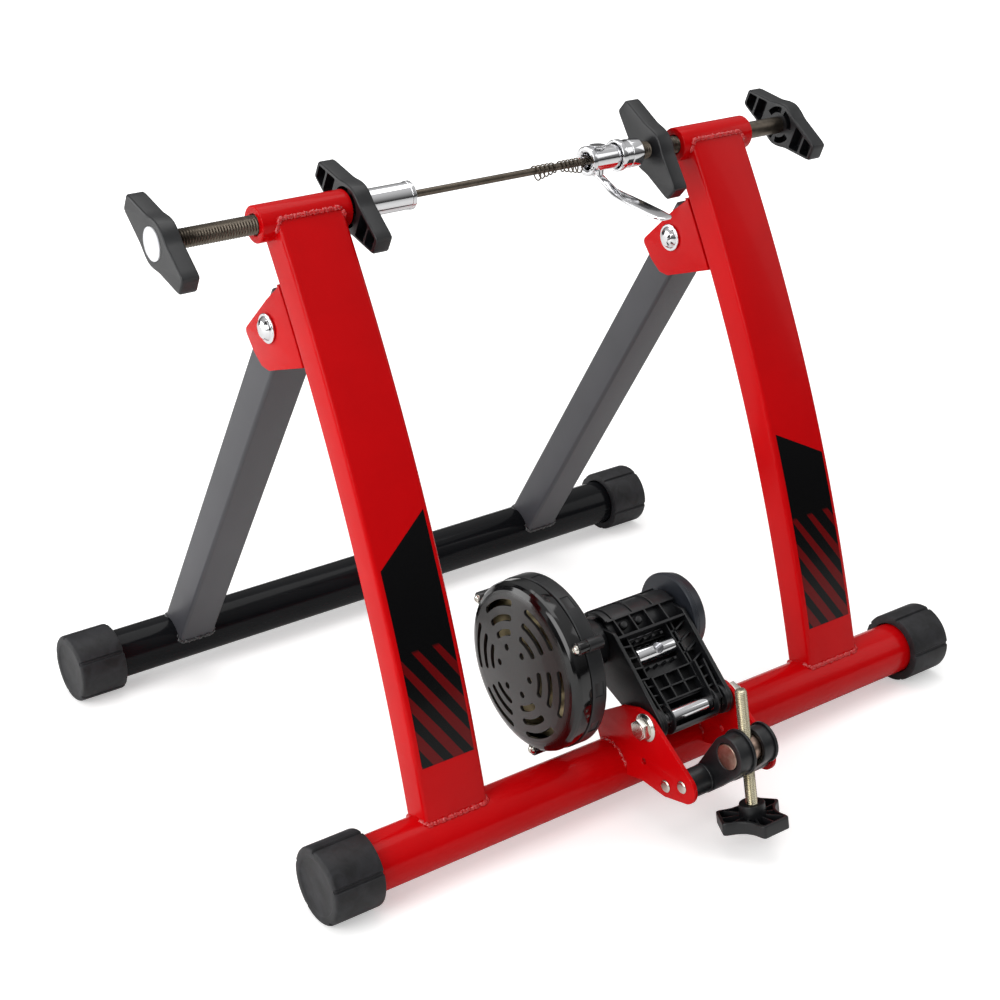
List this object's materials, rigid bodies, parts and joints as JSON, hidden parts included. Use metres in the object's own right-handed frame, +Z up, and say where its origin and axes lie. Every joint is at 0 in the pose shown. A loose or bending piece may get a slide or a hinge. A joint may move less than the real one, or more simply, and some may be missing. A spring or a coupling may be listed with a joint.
{
  "type": "wheel-on bike trainer",
  "caption": "Folding wheel-on bike trainer: an A-shaped steel stand with screw clamps for a rear axle and a swing-up magnetic roller unit",
  "frame": {"origin": "on the floor, below the middle of the object's bounding box", "axes": "+X is to the right seen from the front (the side with the adjusting bolt) and along the base tubes, +Y is from the front tube towards the rear tube, +Z is up"},
  "size_m": [0.5544, 0.5161, 0.4358],
  "materials": {
    "red_paint": "gloss powder coat",
    "black_paint": "gloss paint",
    "grey_paint": "satin powder coat",
    "cap_rubber": "matt moulded",
    "nylon": "fine moulded texture",
    "gloss_plastic": "polished moulding",
    "chrome": "bright plated",
    "zinc": "zinc plated",
    "dark_steel": "dark oiled",
    "copper_steel": "turned, copper tint",
    "aluminium": "turned",
    "disc_label": "blank silver"
  },
  "bodies": {
    "stand": {"front_base_tube": "red_paint", "left_leg": "red_paint", "right_leg": "red_paint", "left_axle_sleeve": "red_paint", "right_axle_sleeve": "red_paint", "left_pivot_bracket": "red_paint", "right_pivot_bracket": "red_paint", "left_unit_plate": "red_paint", "right_unit_plate": "red_paint", "unit_stay_pin": "zinc", "link_pivot_pin": "zinc", "left_fold_bolt": "chrome", "right_fold_bolt": "chrome", "left_fold_nut": "zinc", "right_fold_nut": "zinc", "front_left_end_cap": "cap_rubber", "front_right_end_cap": "cap_rubber", "arm_pivot_bolt": "zinc", "arm_pivot_nut": "zinc", "arm_spacer_tube": "chrome"},
    "rear_frame": {"rear_base_tube": "black_paint", "rear_left_leg": "grey_paint", "rear_right_leg": "grey_paint", "rear_left_end_cap": "cap_rubber", "rear_right_end_cap": "cap_rubber"},
    "left_clamp": {"left_clamp_screw": "dark_steel", "left_axle_cup": "chrome"},
    "left_hand_knob": {"left_hand_knob": "nylon", "left_knob_disc": "disc_label"},
    "left_lock_knob": {"left_lock_knob": "nylon"},
    "right_clamp": {"right_clamp_screw": "dark_steel", "right_axle_cup": "chrome"},
    "right_hand_knob": {"right_hand_knob": "nylon", "right_knob_disc": "disc_label"},
    "right_lock_knob": {"right_lock_knob": "nylon"},
    "skewer": {"skewer_rod": "dark_steel", "skewer_nut": "chrome", "skewer_spring_left": "dark_steel", "skewer_spring_right": "dark_steel", "skewer_housing": "chrome"},
    "skewer_lever": {"skewer_lever": "chrome"},
    "arm": {"swing_arm": "nylon", "left_roller_bearing": "zinc", "right_roller_bearing": "zinc", "drum_cover": "gloss_plastic", "drum_housing": "nylon", "magnet_ring": "dark_steel", "drum_screw_1": "zinc", "drum_screw_2": "zinc", "drum_screw_3": "zinc"},
    "roller": {"roller": "aluminium", "roller_shaft": "zinc", "flywheel": "grey_paint", "brake_disc": "aluminium"},
    "barrel_nut": {"barrel_nut": "chrome"},
    "link": {"tension_link": "nylon"},
    "cross_pin": {"cross_pin": "copper_steel"},
    "adjusting_bolt": {"adjusting_bolt": "zinc"},
    "adjuster_knob": {"adjuster_knob": "nylon"}
  },
  "joints": [
    {"name": "rear_frame_fold", "type": "hinge", "parent": "stand", "child": "rear_frame", "pos_m": [0, 0.02432, 0.3345], "axis": [-1, 0, 0], "range_deg": [0, 52]},
    {"name": "left_clamp_travel", "type": "slide", "parent": "stand", "child": "left_clamp", "axis": [1, 0, 0], "range_m": [0, 0.0074]},
    {"name": "left_knob_turn", "type": "hinge", "parent": "left_clamp", "child": "left_hand_knob", "pos_m": [-0.269, 0.0147, 0.4058], "axis": [1, 0, 0], "range_deg": [0, 1380]},
    {"name": "left_lock_turn", "type": "hinge", "parent": "left_clamp", "child": "left_lock_knob", "pos_m": [-0.134, 0.0147, 0.4058], "axis": [1, 0, 0], "range_deg": [-360, 360]},
    {"name": "right_clamp_travel", "type": "slide", "parent": "stand", "child": "right_clamp", "axis": [-1, 0, 0], "range_m": [-0.0058, 0.0048]},
    {"name": "right_knob_turn", "type": "hinge", "parent": "right_clamp", "child": "right_hand_knob", "pos_m": [0.2447, 0.0147, 0.4058], "axis": [-1, 0, 0], "range_deg": [-1080, 900]},
    {"name": "right_lock_turn", "type": "hinge", "parent": "right_clamp", "child": "right_lock_knob", "pos_m": [0.1163, 0.0147, 0.4058], "axis": [-1, 0, 0], "range_deg": [-360, 360]},
    {"name": "skewer_spin", "type": "hinge", "parent": "stand", "child": "skewer", "pos_m": [0, 0.0147, 0.4058], "axis": [1, 0, 0], "continuous": true},
    {"name": "skewer_lever_swing", "type": "hinge", "parent": "skewer", "child": "skewer_lever", "pos_m": [0.066, 0.0147, 0.4058], "axis": [0, 0, 1], "range_deg": [-90, 35]},
    {"name": "arm_swing", "type": "hinge", "parent": "stand", "child": "arm", "pos_m": [-0.003, -0.1682, 0.073], "axis": [1, 0, 0], "range_deg": [0, 80]},
    {"name": "roller_spin", "type": "hinge", "parent": "arm", "child": "roller", "pos_m": [-0.003, -0.10818, 0.11094], "axis": [1, 0, 0], "continuous": true},
    {"name": "barrel_nut_tilt", "type": "hinge", "parent": "arm", "child": "barrel_nut", "pos_m": [-0.003, -0.13355, 0.10401], "axis": [1, 0, 0], "range_deg": [-15, 15]},
    {"name": "link_swing", "type": "hinge", "parent": "stand", "child": "link", "pos_m": [-0.003, -0.2052, 0.045], "axis": [1, 0, 0], "range_deg": [-25, 12]},
    {"name": "cross_pin_turn", "type": "hinge", "parent": "link", "child": "cross_pin", "pos_m": [-0.003, -0.226, 0.0704], "axis": [1, 0, 0], "range_deg": [-30, 8]},
    {"name": "adjusting_bolt_travel", "type": "slide", "parent": "cross_pin", "child": "adjusting_bolt", "axis": [0, 0.1805, 0.9836], "range_m": [-0.0059, 0.01]},
    {"name": "adjuster_turn", "type": "hinge", "parent": "adjusting_bolt", "child": "adjuster_knob", "pos_m": [-0.003, -0.23448, 0.02417], "axis": [0, 0.1805, 0.9836], "range_deg": [-1710, 2900]}
  ],
  "couplings": [
    {"joint": "left_knob_turn", "follows": "left_clamp_travel", "rad_per_m": 3215.4},
    {"joint": "right_knob_turn", "follows": "right_clamp_travel", "rad_per_m": 3215.4},
    {"joint": "adjuster_turn", "follows": "adjusting_bolt_travel", "rad_per_m": 5026.5}
  ]
}
